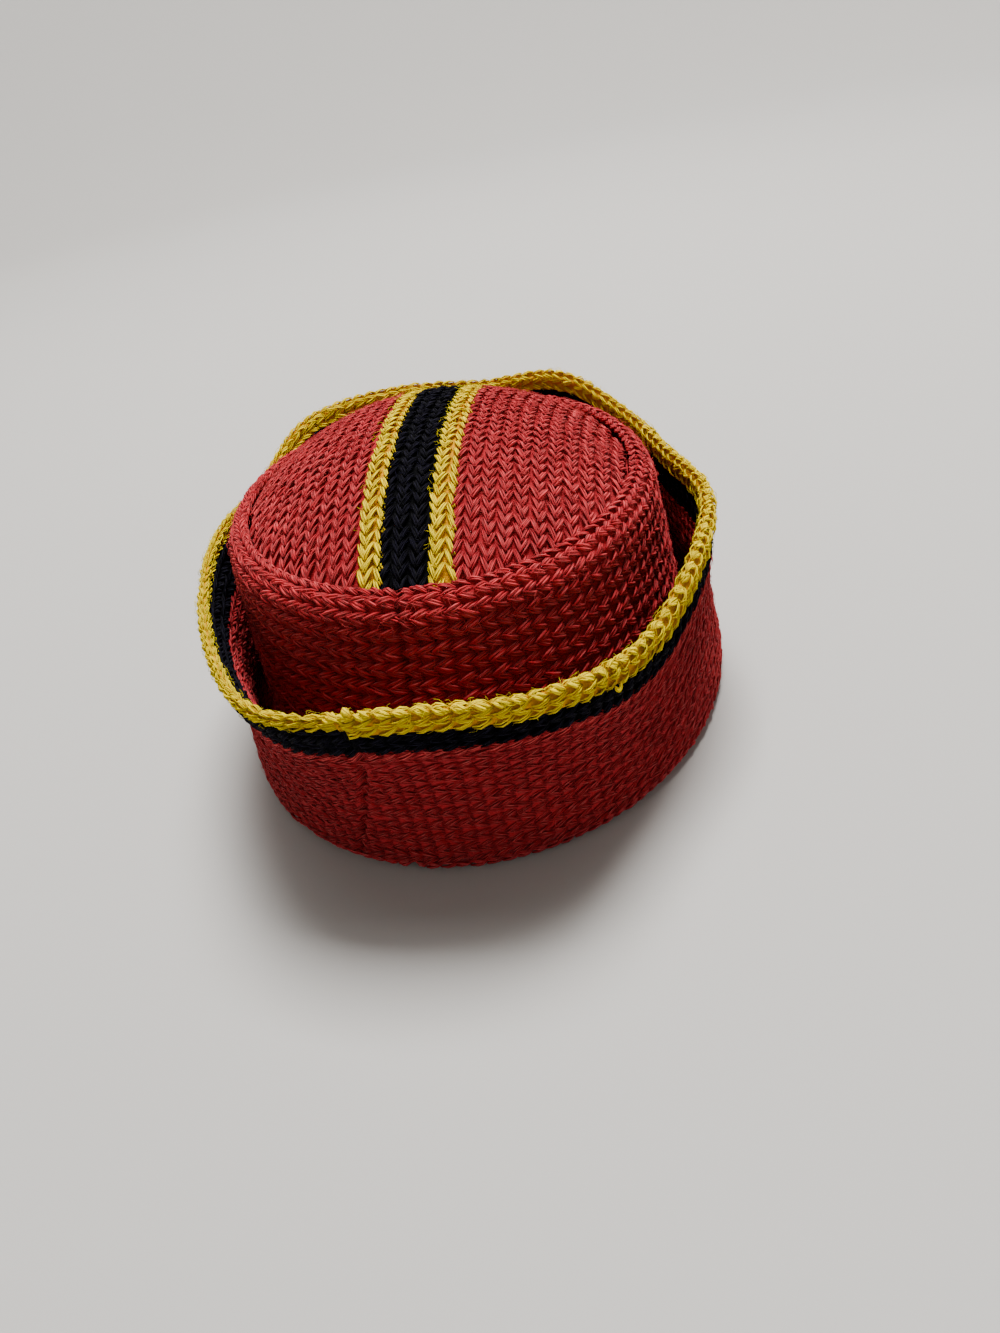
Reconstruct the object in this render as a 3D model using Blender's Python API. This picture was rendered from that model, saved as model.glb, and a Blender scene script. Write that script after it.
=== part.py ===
"""Knitted wool hat: a domed striped top, a round side band and a brim that is turned up all round.

Metres, +Z up. The front of the hat looks along -Y, and its lowest fold lies on z = 0.
Every ring of the hat is a loft of sections, one section for each direction around the head.
A section is drawn in its own plane, which stands square to the oval line of the lowest fold:
its first coordinate is the reach outwards from that line, its second the height.
"""

import math

import bmesh
import bpy

# The knitted cloth
WALL = 0.0044
GAP = 0.0003

# The lowest fold, an oval seen from above, and how the cloth turns in it
FOLD_HALF_WIDTH = 0.0960
FOLD_HALF_LENGTH = 0.1135
FOLD_INNER_RADIUS = 0.0009
FOLD_FLAT = 0.0050

# The domed top. Its rim is the groove inside the ridge, and lies inside the line of the fold.
# It leans: at the wearer's left the rim stands higher than in the middle by the tilt's rise.
TOP_INSET_SIDES = 0.0248
TOP_INSET_ENDS = 0.0320
TOP_SHIFT_LEFT = 0.0050
TOP_SHIFT_FRONT = 0.0070
TOP_RIM_HEIGHT = 0.0871
TOP_TILT_RISE = 0.0030
TOP_RISE = 0.0256
TOP_FULLNESS = 2.4

# The stripes that run over the top from front to back
NAVY_STRIPE_WIDTH = 0.0148
YELLOW_STRIPE_WIDTH = 0.0088

# The raised ridge and the shoulder of the side band
RIDGE_HEIGHT = 0.0018
RIDGE_LIP = 0.0016
SHOULDER_REACH = 0.0104
SHOULDER_DROP = 0.0125

# The turned-up brim
BRIM_HEIGHT = 0.0789
BRIM_REACH = 0.0100
BRIM_WAIST = 0.0028
BRIM_FLARE = 1.6
NAVY_ROWS_HEIGHT = 0.0130
YELLOW_EDGE_HEIGHT = 0.0070
YELLOW_EDGE_SWELL_OUT = 0.0008
YELLOW_EDGE_SWELL_IN = 0.0002

# The brim's free edge. One row each 22.5 degrees, from the wearer's left by way of the back:
# reach as a share of BRIM_REACH, height as a share of BRIM_HEIGHT.
EDGE_ROWS = (
    (-0.09, 1.01),
    (-0.20, 1.00),
    (0.40, 0.97),
    (1.53, 0.98),
    (1.40, 1.02),
    (1.55, 0.98),
    (0.29, 0.87),
    (-0.13, 0.96),
    (-0.31, 0.96),
    (-0.93, 0.96),
    (-0.48, 1.01),
    (0.01, 1.13),
    (0.24, 1.09),
    (1.04, 1.13),
    (1.37, 1.13),
    (0.18, 1.01),
)

# The yellow edge from its lower side to its crest: thickness as a share of WALL,
# and swelling as a share of the two swell sizes.
YELLOW_EDGE_ROWS = (
    (1.0, 0.55),
    (1.0, 1.0),
    (1.0, 1.0),
    (0.5, 0.45),
)

# Fineness of the faceted solids
DIRECTIONS = 56
DOME_RINGS = 7
CORNER_STEPS = 4
SHOULDER_STEPS = 5
BAND_STEPS = 3
BRIM_STEPS = 5
NAVY_STEPS = 2

# Worked out from the sizes above
TOP_HALF_WIDTH = FOLD_HALF_WIDTH - TOP_INSET_SIDES
TOP_HALF_LENGTH = FOLD_HALF_LENGTH - TOP_INSET_ENDS
FOLD_OUTER_RADIUS = FOLD_INNER_RADIUS + WALL
BAND_FACE_REACH = -(WALL + 2 * FOLD_INNER_RADIUS + FOLD_FLAT)
BAND_BOTTOM_HEIGHT = FOLD_OUTER_RADIUS + GAP
STRIPES_HEIGHT = YELLOW_EDGE_HEIGHT + NAVY_ROWS_HEIGHT

COLOURS = {
    "red_wool": (0.300, 0.022, 0.022),
    "navy_wool": (0.008, 0.006, 0.016),
    "yellow_wool": (0.700, 0.480, 0.015),
}


def clear_scene():
    """Remove every object that the file opened with."""
    for item in list(bpy.data.objects):
        bpy.data.objects.remove(item, do_unlink=True)


def collection(name):
    """Make a collection in the scene."""
    group = bpy.data.collections.new(name)
    bpy.context.scene.collection.children.link(group)
    return group


def wool(name):
    """Make the matte wool material of one colour."""
    material = bpy.data.materials.new(name)
    material.use_nodes = True
    shader = material.node_tree.nodes["Principled BSDF"]
    shader.inputs["Base Color"].default_value = (*COLOURS[name], 1.0)
    shader.inputs["Roughness"].default_value = 0.9
    shader.inputs["Metallic"].default_value = 0.0
    return material


def smooth_row(table, column, turn):
    """Read one column of a closed table at a turn from 0 to 1, with a smooth curve through its rows."""
    count = len(table)
    place = (turn % 1.0) * count
    first = int(place)
    t = place - first
    a, b, c, d = (table[(first + step) % count][column] for step in (-1, 0, 1, 2))
    return b + 0.5 * t * (c - a + t * (2 * a - 5 * b + 4 * c - d + t * (3 * (b - c) + d - a)))


def fold_point(angle):
    """The outermost point of the lowest fold in one direction, and the outward normal there."""
    x = FOLD_HALF_WIDTH * math.cos(angle)
    y = FOLD_HALF_LENGTH * math.sin(angle)
    nx = math.cos(angle) / FOLD_HALF_WIDTH
    ny = math.sin(angle) / FOLD_HALF_LENGTH
    length = math.hypot(nx, ny)
    return x, y, nx / length, ny / length


def top_rim_reach(angle):
    """How far the groove around the top lies from the fold line, as a reach that is below zero."""
    x, y, nx, ny = fold_point(angle)
    px = (x - TOP_SHIFT_LEFT) / TOP_HALF_WIDTH
    py = (y + TOP_SHIFT_FRONT) / TOP_HALF_LENGTH
    qx = nx / TOP_HALF_WIDTH
    qy = ny / TOP_HALF_LENGTH
    a = qx * qx + qy * qy
    b = px * qx + py * qy
    c = px * px + py * py - 1.0
    return (-b + math.sqrt(b * b - a * c)) / a


def tilt_height(x):
    """How much the lean of the top lifts a place on it, which is that many metres to the left."""
    return TOP_TILT_RISE * (x - TOP_SHIFT_LEFT) / TOP_HALF_WIDTH


def rim_height(angle):
    """Height of the groove around the top in one direction."""
    x, _, nx, _ = fold_point(angle)
    return TOP_RIM_HEIGHT + tilt_height(x + nx * top_rim_reach(angle))


def arc(centre, radius, start, end, steps):
    """Points of an arc in a section, from one angle to another in degrees, both ends included."""
    points = []
    for step in range(steps + 1):
        angle = math.radians(start + (end - start) * step / steps)
        points.append((centre[0] + radius * math.cos(angle), centre[1] + radius * math.sin(angle)))
    return points


def offset_line(points, distance):
    """Shift an open line sideways in its section, to the left of its direction."""
    shifted = []
    for index, point in enumerate(points):
        before = points[max(index - 1, 0)]
        after = points[min(index + 1, len(points) - 1)]
        dx = after[0] - before[0]
        dz = after[1] - before[1]
        length = math.hypot(dx, dz)
        shifted.append((point[0] - dz / length * distance, point[1] + dx / length * distance))
    return shifted


def side_walls(angle):
    """The side of the crown: a ridge beside the groove, a round shoulder, and a slope down to the fold.

    Gives the outer and the inner line, from the ridge down, with as many points each.
    """
    rim = top_rim_reach(angle) + GAP
    foot = rim_height(angle) - WALL - RIDGE_HEIGHT
    crest = rim_height(angle) + RIDGE_HEIGHT
    outer = []
    for step in range(SHOULDER_STEPS + 1):
        turn = math.radians(90 * step / SHOULDER_STEPS)
        reach = rim + RIDGE_LIP + (SHOULDER_REACH - RIDGE_LIP) * math.sin(turn)
        outer.append((reach, crest - SHOULDER_DROP * (1 - math.cos(turn))))
    shoulder = outer[-1]
    for step in range(1, BAND_STEPS + 1):
        share = step / BAND_STEPS
        outer.append((
            shoulder[0] + (BAND_FACE_REACH - shoulder[0]) * share,
            shoulder[1] + (BAND_BOTTOM_HEIGHT - shoulder[1]) * share,
        ))
    inner = offset_line(outer, -WALL)
    inner[0] = (rim, foot)
    inner[-1] = (BAND_FACE_REACH - WALL, BAND_BOTTOM_HEIGHT)
    return outer, inner


def raised(point, height):
    """Move a point of a section straight up."""
    return point[0], point[1] + height


def ridge_section(angle):
    """The raised ridge and the round shoulder, down to where the band's slope starts."""
    outer, inner = side_walls(angle)
    lip = (inner[0][0], outer[0][1] - RIDGE_LIP)
    last = SHOULDER_STEPS
    line = [lip] + outer[:last] + [raised(outer[last], GAP / 2), raised(inner[last], GAP / 2)]
    return line + inner[:last][::-1]


def band_section(angle):
    """The slope of the side band, from the shoulder down to the fold."""
    outer, inner = side_walls(angle)
    first = SHOULDER_STEPS
    line = [raised(outer[first], -GAP / 2)] + outer[first + 1:]
    return line + inner[first + 1:][::-1] + [raised(inner[first], -GAP / 2)]


def brim_point(angle, share):
    """The middle of the brim's cloth, at a share of its height above the fold."""
    turn = angle / math.tau
    reach = smooth_row(EDGE_ROWS, 0, turn) * BRIM_REACH
    height = smooth_row(EDGE_ROWS, 1, turn) * BRIM_HEIGHT
    waist = BRIM_WAIST * math.sin(math.pi * share) ** 2
    start = -WALL / 2
    return (
        start + (reach - start) * share ** BRIM_FLARE - waist,
        FOLD_OUTER_RADIUS + (height - FOLD_OUTER_RADIUS) * share,
    )


def brim_line(angle, low, high, steps):
    """The middle of the brim's cloth between two heights under its free edge. No low is the foot."""
    top = smooth_row(EDGE_ROWS, 1, angle / math.tau) * BRIM_HEIGHT
    rise = top - FOLD_OUTER_RADIUS
    first = GAP / rise if low is None else 1.0 - low / rise
    last = 1.0 - high / rise
    return [brim_point(angle, first + (last - first) * step / steps) for step in range(steps + 1)]


def lower_fold_section(angle):
    """The cloth that comes down on the head's side and turns up again outside, flattened below."""
    inside = BAND_FACE_REACH - WALL
    near = (inside + FOLD_OUTER_RADIUS, FOLD_OUTER_RADIUS)
    far = (-FOLD_OUTER_RADIUS, FOLD_OUTER_RADIUS)
    outer = arc(near, FOLD_OUTER_RADIUS, 180, 270, CORNER_STEPS)
    outer += arc(far, FOLD_OUTER_RADIUS, 270, 360, CORNER_STEPS)
    inner = arc(near, FOLD_INNER_RADIUS, 180, 270, 1)
    inner += arc(far, FOLD_INNER_RADIUS, 270, 360, 1)
    return outer + inner[::-1]


def turned_brim_section(angle):
    """The red wall of the brim, level at its foot, up to the navy rows."""
    middle = brim_line(angle, None, STRIPES_HEIGHT + GAP / 2, BRIM_STEPS)
    outer = offset_line(middle, -WALL / 2)
    inner = offset_line(middle, WALL / 2)
    outer[0] = (0.0, middle[0][1])
    inner[0] = (-WALL, middle[0][1])
    return outer + inner[::-1]


def navy_section(angle):
    """The navy rows, between the red cloth and the yellow edge."""
    middle = brim_line(angle, STRIPES_HEIGHT - GAP / 2, YELLOW_EDGE_HEIGHT + GAP / 2, NAVY_STEPS)
    return offset_line(middle, -WALL / 2) + offset_line(middle, WALL / 2)[::-1]


def yellow_edge_section(angle):
    """The rolled free edge, fuller than the cloth and round on top."""
    middle = brim_line(angle, YELLOW_EDGE_HEIGHT - GAP / 2, 0.0, len(YELLOW_EDGE_ROWS) - 1)
    outer = []
    inner = []
    for index, (thickness, swell) in enumerate(YELLOW_EDGE_ROWS):
        half = WALL / 2 * thickness
        outer.append(offset_line(middle, -half - YELLOW_EDGE_SWELL_OUT * swell)[index])
        inner.append(offset_line(middle, half + YELLOW_EDGE_SWELL_IN * swell)[index])
    return outer + inner[::-1]


def closed_mesh(name, rings, closed_round):
    """Skin a list of like rings. A closed round joins the last ring to the first."""
    shape = bmesh.new()
    rows = [[shape.verts.new(point) for point in ring] for ring in rings]
    count = len(rows) if closed_round else len(rows) - 1
    size = len(rows[0])
    for index in range(count):
        here = rows[index]
        there = rows[(index + 1) % len(rows)]
        for corner in range(size):
            after = (corner + 1) % size
            shape.faces.new((here[corner], here[after], there[after], there[corner]))
    bmesh.ops.recalc_face_normals(shape, faces=shape.faces[:])
    mesh = bpy.data.meshes.new(name)
    shape.to_mesh(mesh)
    shape.free()
    return mesh


def finish(name, mesh, material, group):
    """Make the named object of a mesh, smooth where its faces turn gently."""
    item = bpy.data.objects.new(name, mesh)
    group.objects.link(item)
    mesh.materials.append(material)
    mesh.shade_smooth()
    mesh.set_sharp_from_angle(angle=math.radians(35))
    return item


def ring_piece(name, section, material, group):
    """Loft one ring of the hat around the head."""
    rings = []
    for step in range(DIRECTIONS):
        angle = math.tau * step / DIRECTIONS
        x, y, nx, ny = fold_point(angle)
        rings.append([(x + nx * reach, y + ny * reach, height) for reach, height in section(angle)])
    return finish(name, closed_mesh(name, rings, True), material, group)


def dome_height(share, x):
    """Height of the top's upper face at a share of the way from its middle to its rim."""
    return TOP_RIM_HEIGHT + TOP_RISE * (1 - share ** TOP_FULLNESS) + tilt_height(x)


def dome_mesh(name):
    """The whole top as one closed shell, before it is cut into its stripes."""
    shape = bmesh.new()
    layers = []
    for drop in (0.0, WALL):
        rows = []
        for ring in range(1, DOME_RINGS + 1):
            share = math.sin(math.pi / 2 * ring / DOME_RINGS)
            row = []
            for step in range(DIRECTIONS):
                angle = math.tau * step / DIRECTIONS
                fold_x, fold_y, nx, ny = fold_point(angle)
                reach = top_rim_reach(angle)
                rim_x = fold_x + nx * reach - TOP_SHIFT_LEFT
                rim_y = fold_y + ny * reach + TOP_SHIFT_FRONT
                x = TOP_SHIFT_LEFT + rim_x * share
                y = -TOP_SHIFT_FRONT + rim_y * share
                row.append(shape.verts.new((x, y, dome_height(share, x) - drop)))
            rows.append(row)
        summit = dome_height(0, TOP_SHIFT_LEFT) - drop
        middle = shape.verts.new((TOP_SHIFT_LEFT, -TOP_SHIFT_FRONT, summit))
        for step in range(DIRECTIONS):
            after = (step + 1) % DIRECTIONS
            shape.faces.new((middle, rows[0][step], rows[0][after]))
            for near, far in zip(rows, rows[1:]):
                shape.faces.new((near[step], far[step], far[after], near[after]))
        layers.append(rows[-1])
    for step in range(DIRECTIONS):
        after = (step + 1) % DIRECTIONS
        shape.faces.new((layers[0][step], layers[1][step], layers[1][after], layers[0][after]))
    bmesh.ops.recalc_face_normals(shape, faces=shape.faces[:])
    mesh = bpy.data.meshes.new(name)
    shape.to_mesh(mesh)
    shape.free()
    return mesh


def strip_cutter(name, left, right, group):
    """A block that spans the top from front to back between two sideways places."""
    bpy.ops.mesh.primitive_cube_add(size=1.0)
    block = bpy.context.object
    block.name = name
    block.dimensions = (left - right, TOP_HALF_LENGTH * 3, TOP_RIM_HEIGHT * 2)
    block.location = ((left + right) / 2, -TOP_SHIFT_FRONT, TOP_RIM_HEIGHT)
    for holder in list(block.users_collection):
        holder.objects.unlink(block)
    group.objects.link(block)
    block.hide_render = True
    block.display_type = "WIRE"
    return block


def top_pieces(materials, group, cutters):
    """Cut the dome into the red panels and the three stripes, from the wearer's left to right."""
    edge = TOP_HALF_WIDTH * 1.5
    navy = NAVY_STRIPE_WIDTH / 2
    yellow = navy + YELLOW_STRIPE_WIDTH
    strips = (
        ("top_panel_left", edge, yellow, "red_wool"),
        ("top_stripe_yellow_left", yellow, navy, "yellow_wool"),
        ("top_stripe_navy", navy, -navy, "navy_wool"),
        ("top_stripe_yellow_right", -navy, -yellow, "yellow_wool"),
        ("top_panel_right", -yellow, -edge, "red_wool"),
    )
    for name, left, right, colour in strips:
        shift = TOP_SHIFT_LEFT
        cutter = strip_cutter(name + "_cutter", left + shift - GAP / 2, right + shift + GAP / 2, cutters)
        piece = finish(name, dome_mesh(name), materials[colour], group)
        cut = piece.modifiers.new("strip", "BOOLEAN")
        cut.operation = "INTERSECT"
        cut.object = cutter


def box_middle(group):
    """The middle of the hat's box, seen from above."""
    corners = [vertex.co for item in group.objects for vertex in item.data.vertices]
    middle_x = (min(co.x for co in corners) + max(co.x for co in corners)) / 2
    middle_y = (min(co.y for co in corners) + max(co.y for co in corners)) / 2
    return middle_x, middle_y


def build():
    """Build the hat."""
    clear_scene()
    hat = collection("knitted_hat")
    cutters = collection("cutters")
    materials = {name: wool(name) for name in COLOURS}
    top_pieces(materials, hat, cutters)
    ring_piece("shoulder_ridge", ridge_section, materials["red_wool"], hat)
    ring_piece("side_band", band_section, materials["red_wool"], hat)
    ring_piece("lower_fold", lower_fold_section, materials["red_wool"], hat)
    ring_piece("turned_brim", turned_brim_section, materials["red_wool"], hat)
    ring_piece("brim_navy_stripe", navy_section, materials["navy_wool"], hat)
    ring_piece("brim_yellow_edge", yellow_edge_section, materials["yellow_wool"], hat)
    middle_x, middle_y = box_middle(hat)
    for group in (hat, cutters):
        for item in group.objects:
            item.location.x -= middle_x
            item.location.y -= middle_y


build()
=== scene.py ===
"""A knitted wool hat: a domed top with stripes, a ridge around it, and a brim turned up all round.

Metres, +Z up. The front of the hat looks along -Y and its lowest fold lies on the floor. The
stitches are real loops: each visible half of a stitch, a leg, is a closed tube on the cloth.
"""

import math

import bpy
import numpy as np
from mathutils import Matrix, Vector


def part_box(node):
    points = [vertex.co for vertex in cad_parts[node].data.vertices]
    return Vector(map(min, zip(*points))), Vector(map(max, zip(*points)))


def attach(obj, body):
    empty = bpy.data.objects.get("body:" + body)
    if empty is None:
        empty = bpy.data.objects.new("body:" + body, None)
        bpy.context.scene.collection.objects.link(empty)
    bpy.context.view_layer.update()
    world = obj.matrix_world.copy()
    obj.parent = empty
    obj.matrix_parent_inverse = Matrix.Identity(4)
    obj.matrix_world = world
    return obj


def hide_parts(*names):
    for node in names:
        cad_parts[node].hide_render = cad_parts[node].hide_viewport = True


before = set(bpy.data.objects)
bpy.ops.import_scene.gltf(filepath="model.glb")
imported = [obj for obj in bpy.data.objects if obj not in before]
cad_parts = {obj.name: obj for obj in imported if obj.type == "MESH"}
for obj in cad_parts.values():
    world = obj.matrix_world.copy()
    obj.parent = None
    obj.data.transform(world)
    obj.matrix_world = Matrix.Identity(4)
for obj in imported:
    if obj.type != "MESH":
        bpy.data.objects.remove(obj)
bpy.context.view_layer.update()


# The domed top.
# Thick two-ply wool, knitted flat in V stitches that run from the back of the hat to its front.
# Three of its columns of legs are worked in yellow, five in navy and three in yellow again.

TOP_COURSES = 37
RED_LEG_WIDTH = 0.00265
STRIPE_LEGS = {"top_stripe_yellow_left": 3, "top_stripe_navy": 5, "top_stripe_yellow_right": 3}
TOP_WOOL = {"top_stripe_yellow_left": "yellow_wool", "top_stripe_navy": "navy_wool",
            "top_stripe_yellow_right": "yellow_wool"}
TOP_RISE = 0.0256
TOP_TILT_RISE = 0.0030
TOP_FULLNESS = 2.4
CLOTH_WALL = 0.0044
CORE_DEPTH = 0.0010
CORE_GROOVE = 0.0013
CORE_SPREAD = 0.0009
CORE_STEP = 0.0003
RIM_TUCK = 1.02
PLY_FULLNESS = 1.22
PLY_FLATNESS = 0.75
PLY_TURN = math.radians(30)
LEG_DEPTH = 0.00060
LEG_ARCH = 0.00030
COLUMN_GROOVE = 0.0014
POINT_OVERLAP = 0.16
TOP_LEG_REACH = 1.70
TOP_LEG_LEAN = 1.04
LEG_BOW = 0.08
LEG_BLUNTNESS = 0.45

# How much single legs differ: in lean, place, lift, turn and fullness.
LEAN_CHANCE = 0.10
PLACE_CHANCE = 0.06
LIFT_CHANCE = 0.00012
TURN_CHANCE = 0.25
FULLNESS_CHANCE = 0.10
PLY_LIFT_CHANCE = 0.00007

GROOVE_START = 0.955
GROOVE_SINK = 0.0008
LEG_SIDES = 4
LEG_RINGS = (0.0, 0.09, 0.36, 0.66, 0.91, 1.0)
FIBRE_SIDES = 3
FIBRE_RINGS = (0.0, 0.12, 0.5, 0.88, 1.0)
FIBRE_RADIUS = 0.00006
FIBRE_LENGTH = 0.0042
FIBRE_RISE = 0.0009
FIBRE_STRAY = 0.0008
TOP_FIBRES_PER_AREA = 110000
TOP_FIBRES_END = 0.95
CORE_ROWS = 41

panel_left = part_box("top_panel_left")
panel_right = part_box("top_panel_right")
navy_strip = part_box("top_stripe_navy")
top_middle = np.array([(panel_left[1].x + panel_right[0].x) / 2, (navy_strip[0].y + navy_strip[1].y) / 2])
top_half = np.array([(panel_left[1].x - panel_right[0].x) / 2, (navy_strip[1].y - navy_strip[0].y) / 2])
top_rim_height = navy_strip[1].z - TOP_RISE


def rim_level(x):
    """Height of the groove around the top, which leans up towards the wearer's left."""
    return top_rim_height + TOP_TILT_RISE * (x - top_middle[0]) / top_half[0]


def on_top(x, y, lift):
    """Points on the dome. Its height falls with the oval distance from its middle, raised to a
    power, and a lift moves a point along the normal that the slope of that height gives."""
    ox, oy = (x - top_middle[0]) / top_half[0], (y - top_middle[1]) / top_half[1]
    share = np.maximum(np.hypot(ox, oy), 1e-6)
    fall = TOP_RISE * TOP_FULLNESS * np.minimum(share, 1.0) ** (TOP_FULLNESS - 2)
    normal = [(fall * ox - TOP_TILT_RISE) / top_half[0], fall * oy / top_half[1], np.ones_like(share)]
    normal = np.stack(normal, -1)
    normal /= np.linalg.norm(normal, axis=-1, keepdims=True)
    sink = GROOVE_SINK * np.clip((share - GROOVE_START) / (1 - GROOVE_START), 0, 1.2) ** 2
    height = rim_level(x) + TOP_RISE * (1 - np.minimum(share, 1.0) ** TOP_FULLNESS) - sink
    return np.stack([x, y, height], -1) + normal * lift[..., None]


middle_y = np.linspace(1, -1, 401) * top_half[1] + top_middle[1]
middle_line = on_top(np.full(401, top_middle[0]), middle_y, np.zeros(401))
middle_run = np.concatenate([[0], np.cumsum(np.linalg.norm(np.diff(middle_line, axis=0), axis=1))])
TOP_COURSE = middle_run[-1] / TOP_COURSES


def on_top_courses(along, across, lift):
    """Points of the top's cloth, along counted in courses from the back edge to the front."""
    return on_top(-across, np.interp(along * TOP_COURSE, middle_run, middle_y), lift)


def stitch_legs(place, course, column, width, sign, pitch, random, reach, lean,
                fullness=PLY_FULLNESS, depth=LEG_DEPTH, arch=LEG_ARCH, groove=COLUMN_GROOVE):
    """The legs of V stitches, one for each row of the four given arrays, each of two plies.

    A leg leaves the point of its V over the next leg, leans across its column while it runs along,
    and dips at both ends under its neighbours, deeper in the groove between two columns of V. Its
    plies are closed, pointed tubes side by side, a quarter of the legs' spacing from the leg's
    middle line. They turn about it, so that one rises where the other sinks, and their half width
    follows a flattened sine. pitch is the length of a course, and the width that a unit of across
    stands for. reach is a leg's length in courses, and lean its width as a share of its column."""
    count = len(course)
    share = np.array(LEG_RINGS)[None, :, None]
    turn = np.linspace(0, math.tau, LEG_SIDES, endpoint=False)[None, None, :]

    def jitter(size):
        return random.normal(0, size, (count, 1, 1))

    lean = lean * (1 + jitter(LEAN_CHANCE))
    along = course[:, None, None] + jitter(PLACE_CHANCE) + 0.5 + reach * (share - 0.5)
    across = lean * (share - 0.5) + LEG_BOW * np.sin(math.pi * share) - POINT_OVERLAP
    across = sign[:, None, None] * across + jitter(PLACE_CHANCE)
    across = column[:, None, None] + across * width[:, None, None]
    lift = -depth + arch * np.sin(math.pi * share ** 0.75) - groove * share ** 4 + jitter(LIFT_CHANCE)
    steep = sign[:, None, None] * lean * width[:, None, None] * pitch[1]
    length = np.hypot(steep, reach * pitch[0])
    apart = pitch[0] * np.abs(steep) / length / 4
    full = np.sin(math.pi * np.clip(share, 0, 1)) ** LEG_BLUNTNESS
    spin = PLY_TURN * (share - 0.5) + jitter(TURN_CHANCE)
    plies = []
    for ply in (1, -1):
        half = apart * fullness * full * (1 + jitter(FULLNESS_CHANCE))
        side = ply * apart * np.cos(spin) + half * np.cos(turn)
        rise = ply * apart * np.sin(spin) + half * PLY_FLATNESS * np.sin(turn) + jitter(PLY_LIFT_CHANCE)
        plies.append(place(along - side * steep / length / pitch[0],
                           across + side * reach * pitch[0] / length / pitch[1], lift + rise))
    return strand_mesh(np.concatenate(plies), LEG_RINGS)


def loose_fibres(place, course, across, pitch, random, limits):
    """Fuzz: fine fibres that leave the cloth at the given places, run in a random direction over
    it in a slight curve, and rise as a sine of their length. Limits hold them across the cloth."""
    count = len(course)
    sides = np.linspace(0, math.tau, FIBRE_SIDES, endpoint=False)[None, None, :]
    share = np.array(FIBRE_RINGS)[None, :, None]

    def draw(low, high):
        return random.uniform(low, high, (count, 1, 1))

    heading, bend, run = draw(0, math.tau), draw(-1.8, 1.8), FIBRE_LENGTH * draw(0.3, 1.4)
    swing = heading + bend * share
    side = FIBRE_RADIUS * draw(0.7, 1.4) * np.minimum(np.sin(math.pi * share) * 3, 1) * np.cos(sides)
    rise = FIBRE_RISE * draw(0.1, 1.2) * np.sin(math.pi * share * draw(0.5, 1.0))
    lift = FIBRE_RADIUS * np.sin(sides) + rise - 0.0001
    along = course[:, None, None] + (run * share * np.cos(swing) - side * np.sin(swing)) / pitch[0]
    across = across[:, None, None] + (run * share * np.sin(swing) + side * np.cos(swing)) / pitch[1]
    return strand_mesh(place(along, np.clip(across, *limits), lift), FIBRE_RINGS)


def strand_mesh(points, shares):
    """Skin for tubes given as strands by rings by sides, whose end rings are points: fans at both
    ends and bands between. Their map has the strand's number and place along it, and the share
    round it."""
    count, rings, sides = points.shape[:3]
    bands = rings - 3
    side = np.arange(sides)
    after = (side + 1) % sides
    last = 1 + (bands + 1) * sides
    inner = points[:, 1:-1].reshape(count, -1, 3)
    points = np.concatenate([points[:, :1, 0], inner, points[:, -1:, 0]], 1)
    fan_in = np.stack([np.zeros_like(side), 1 + after, 1 + side], 1)
    fan_out = np.stack([last + 0 * side, last - sides + side, last - sides + after], 1)
    ring = (1 + np.arange(bands) * sides)[:, None]
    quads = np.stack([ring + side, ring + after, ring + sides + after, ring + sides + side], 2)
    one = np.concatenate([fan_in.ravel(), quads.ravel(), fan_out.ravel()])
    corners = (one[None, :] + (last + 1) * np.arange(count)[:, None]).ravel()
    counts = np.tile(np.repeat([3, 4, 3], [sides, bands * sides, sides]), count)
    share = np.array(shares)
    u_in = np.tile(share[[0, 1, 1]], sides)
    v_in = np.stack([side + 0.5, side + 1, side], 1).ravel()
    u_band = np.stack([share[1:-2], share[1:-2], share[2:-1], share[2:-1]], 1)
    u_band = np.repeat(u_band[:, None, :], sides, 1).ravel()
    v_band = np.tile(np.stack([side, side + 1, side + 1, side], 1).ravel(), bands)
    u_out = np.tile(share[[-1, -2, -2]], sides)
    v_out = np.stack([side + 0.5, side, side + 1], 1).ravel()
    u = 0.01 + 0.98 * np.concatenate([u_in, u_band, u_out])
    v = np.concatenate([v_in, v_band, v_out]) / sides
    uv = np.stack([(u[None, :] + np.arange(count)[:, None]).ravel(), np.tile(v, count)], 1)
    return points.reshape(-1, 3), corners, counts, uv


def grid_faces(points, wrap):
    """Skin for a grid of rows, each row a closed ring of points. A wrap joins the last row to the
    first, and otherwise each end row is closed by folding its ring flat, first half on second."""
    rows, size = points.shape[:2]
    row = np.arange(rows if wrap else rows - 1)[:, None]
    column = np.arange(size)[None, :]
    here, there = row * size, (row + 1) % rows * size
    after = (column + 1) % size
    quads = np.stack([here + column, here + after, there + after, there + column], 2).reshape(-1, 4)
    u, v = row + 0 * column, column + 0 * row
    uv = np.stack([np.stack([u, v], 2), np.stack([u, v + 1], 2), np.stack([u + 1, v + 1], 2),
                   np.stack([u + 1, v], 2)], 2).reshape(-1, 2)
    if not wrap:
        near = np.arange(size // 2 - 1)
        far = size - 1 - near
        cap = np.stack([near, far, far - 1, near + 1], 1)
        end = cap[:, ::-1] + (rows - 1) * size
        quads = np.concatenate([quads, cap, end])
        uv = np.concatenate([uv, np.zeros((8 * len(near), 2))])
    return points.reshape(-1, 3), quads.ravel(), np.full(len(quads), 4), uv


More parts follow.
